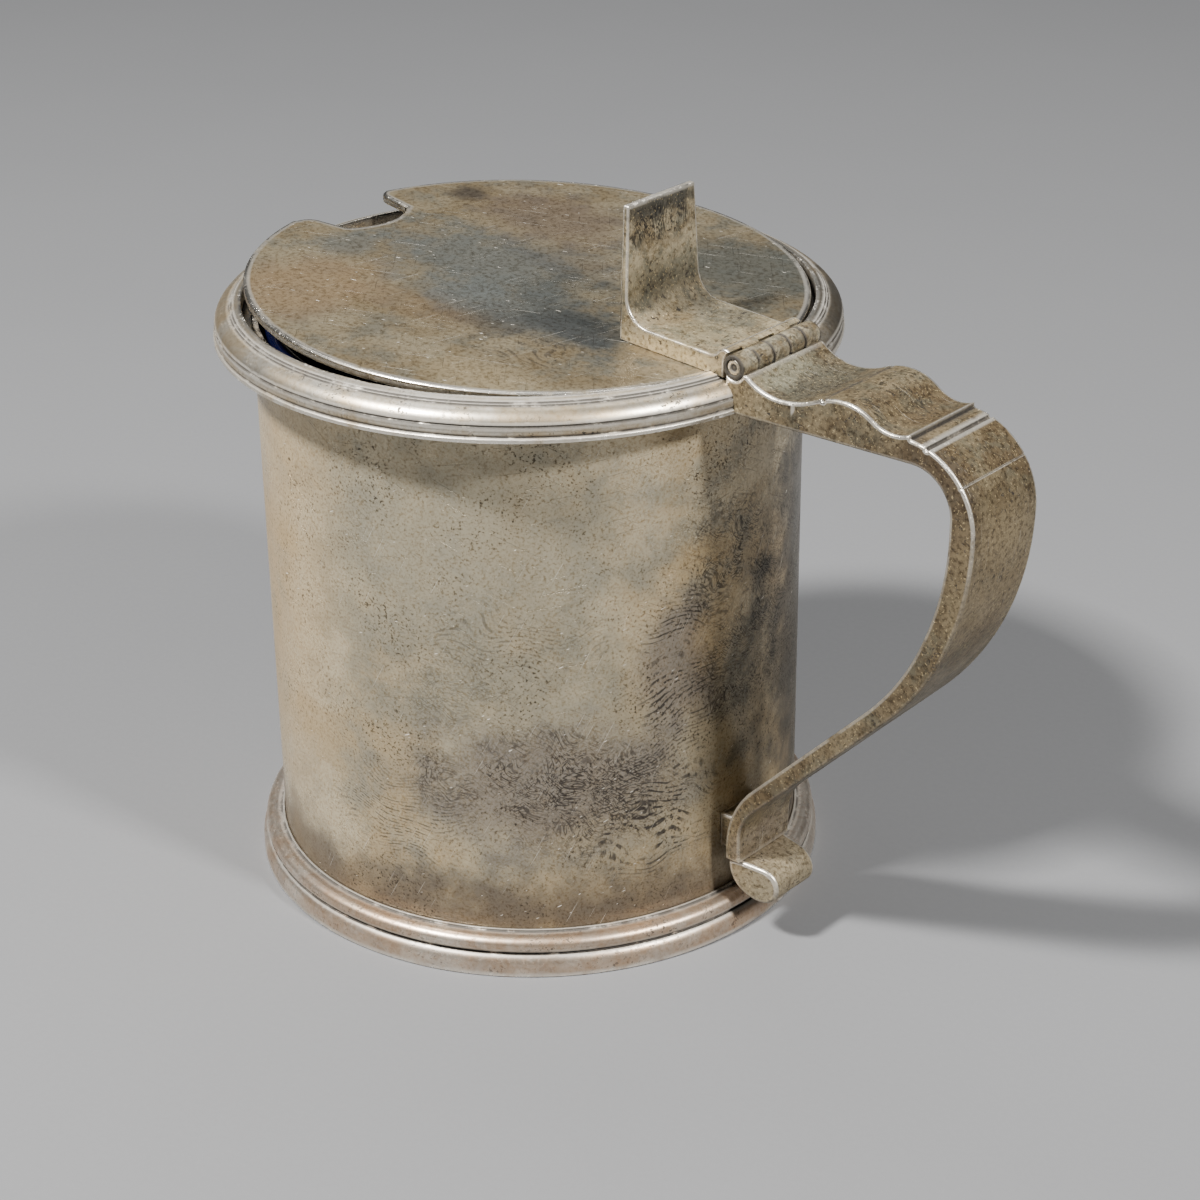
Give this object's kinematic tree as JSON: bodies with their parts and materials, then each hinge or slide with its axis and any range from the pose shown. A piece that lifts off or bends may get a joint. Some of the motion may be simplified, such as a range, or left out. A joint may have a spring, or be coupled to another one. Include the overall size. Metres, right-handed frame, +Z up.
{
  "type": "mustard pot",
  "caption": "Drum-shaped silver mustard pot with moulded rim and foot, flat hinged lid with a spoon notch, upright thumbpiece, strap handle and glass liner.",
  "frame": {"origin": "centre of the foot on the table, on the drum's axis", "axes": "+Z up along the drum, +X towards the handle, +Y along the hinge pin"},
  "size_m": [0.0956, 0.068, 0.0813],
  "materials": {
    "drum_silver": "worn tarnished silver, satin with smudges",
    "rim_silver": "worn silver, dark in the grooves",
    "foot_silver": "worn silver, dark in the groove",
    "lid_silver": "tarnished silver with fine scratches",
    "handle_silver": "golden-brown tarnished cast silver",
    "thumb_silver": "dark golden-brown tarnished cast silver",
    "hinge_silver": "worn tarnished silver",
    "pin_metal": "dark tarnished wire",
    "cobalt_glass": "deep blue clear glass"
  },
  "bodies": {
    "pot": {"body_wall": "drum_silver", "base_plate": "drum_silver", "foot_ring": "foot_silver", "rim_ring": "rim_silver", "glass_liner": "cobalt_glass", "handle_strap": "handle_silver", "handle_terminal": "handle_silver", "handle_lug": "handle_silver", "handle_knuckle_near": "hinge_silver", "handle_knuckle_mid": "hinge_silver", "handle_knuckle_far": "hinge_silver", "hinge_pin": "pin_metal"},
    "lid": {"lid_plate": "lid_silver", "thumbpiece": "thumb_silver", "lid_knuckle_near": "hinge_silver", "lid_knuckle_far": "hinge_silver"}
  },
  "joints": [
    {"name": "lid_hinge", "type": "hinge", "parent": "pot", "child": "lid", "pos_m": [0.0331, 0, 0.06795], "axis": [0, 1, 0], "range_deg": [-3.3, 120]}
  ]
}
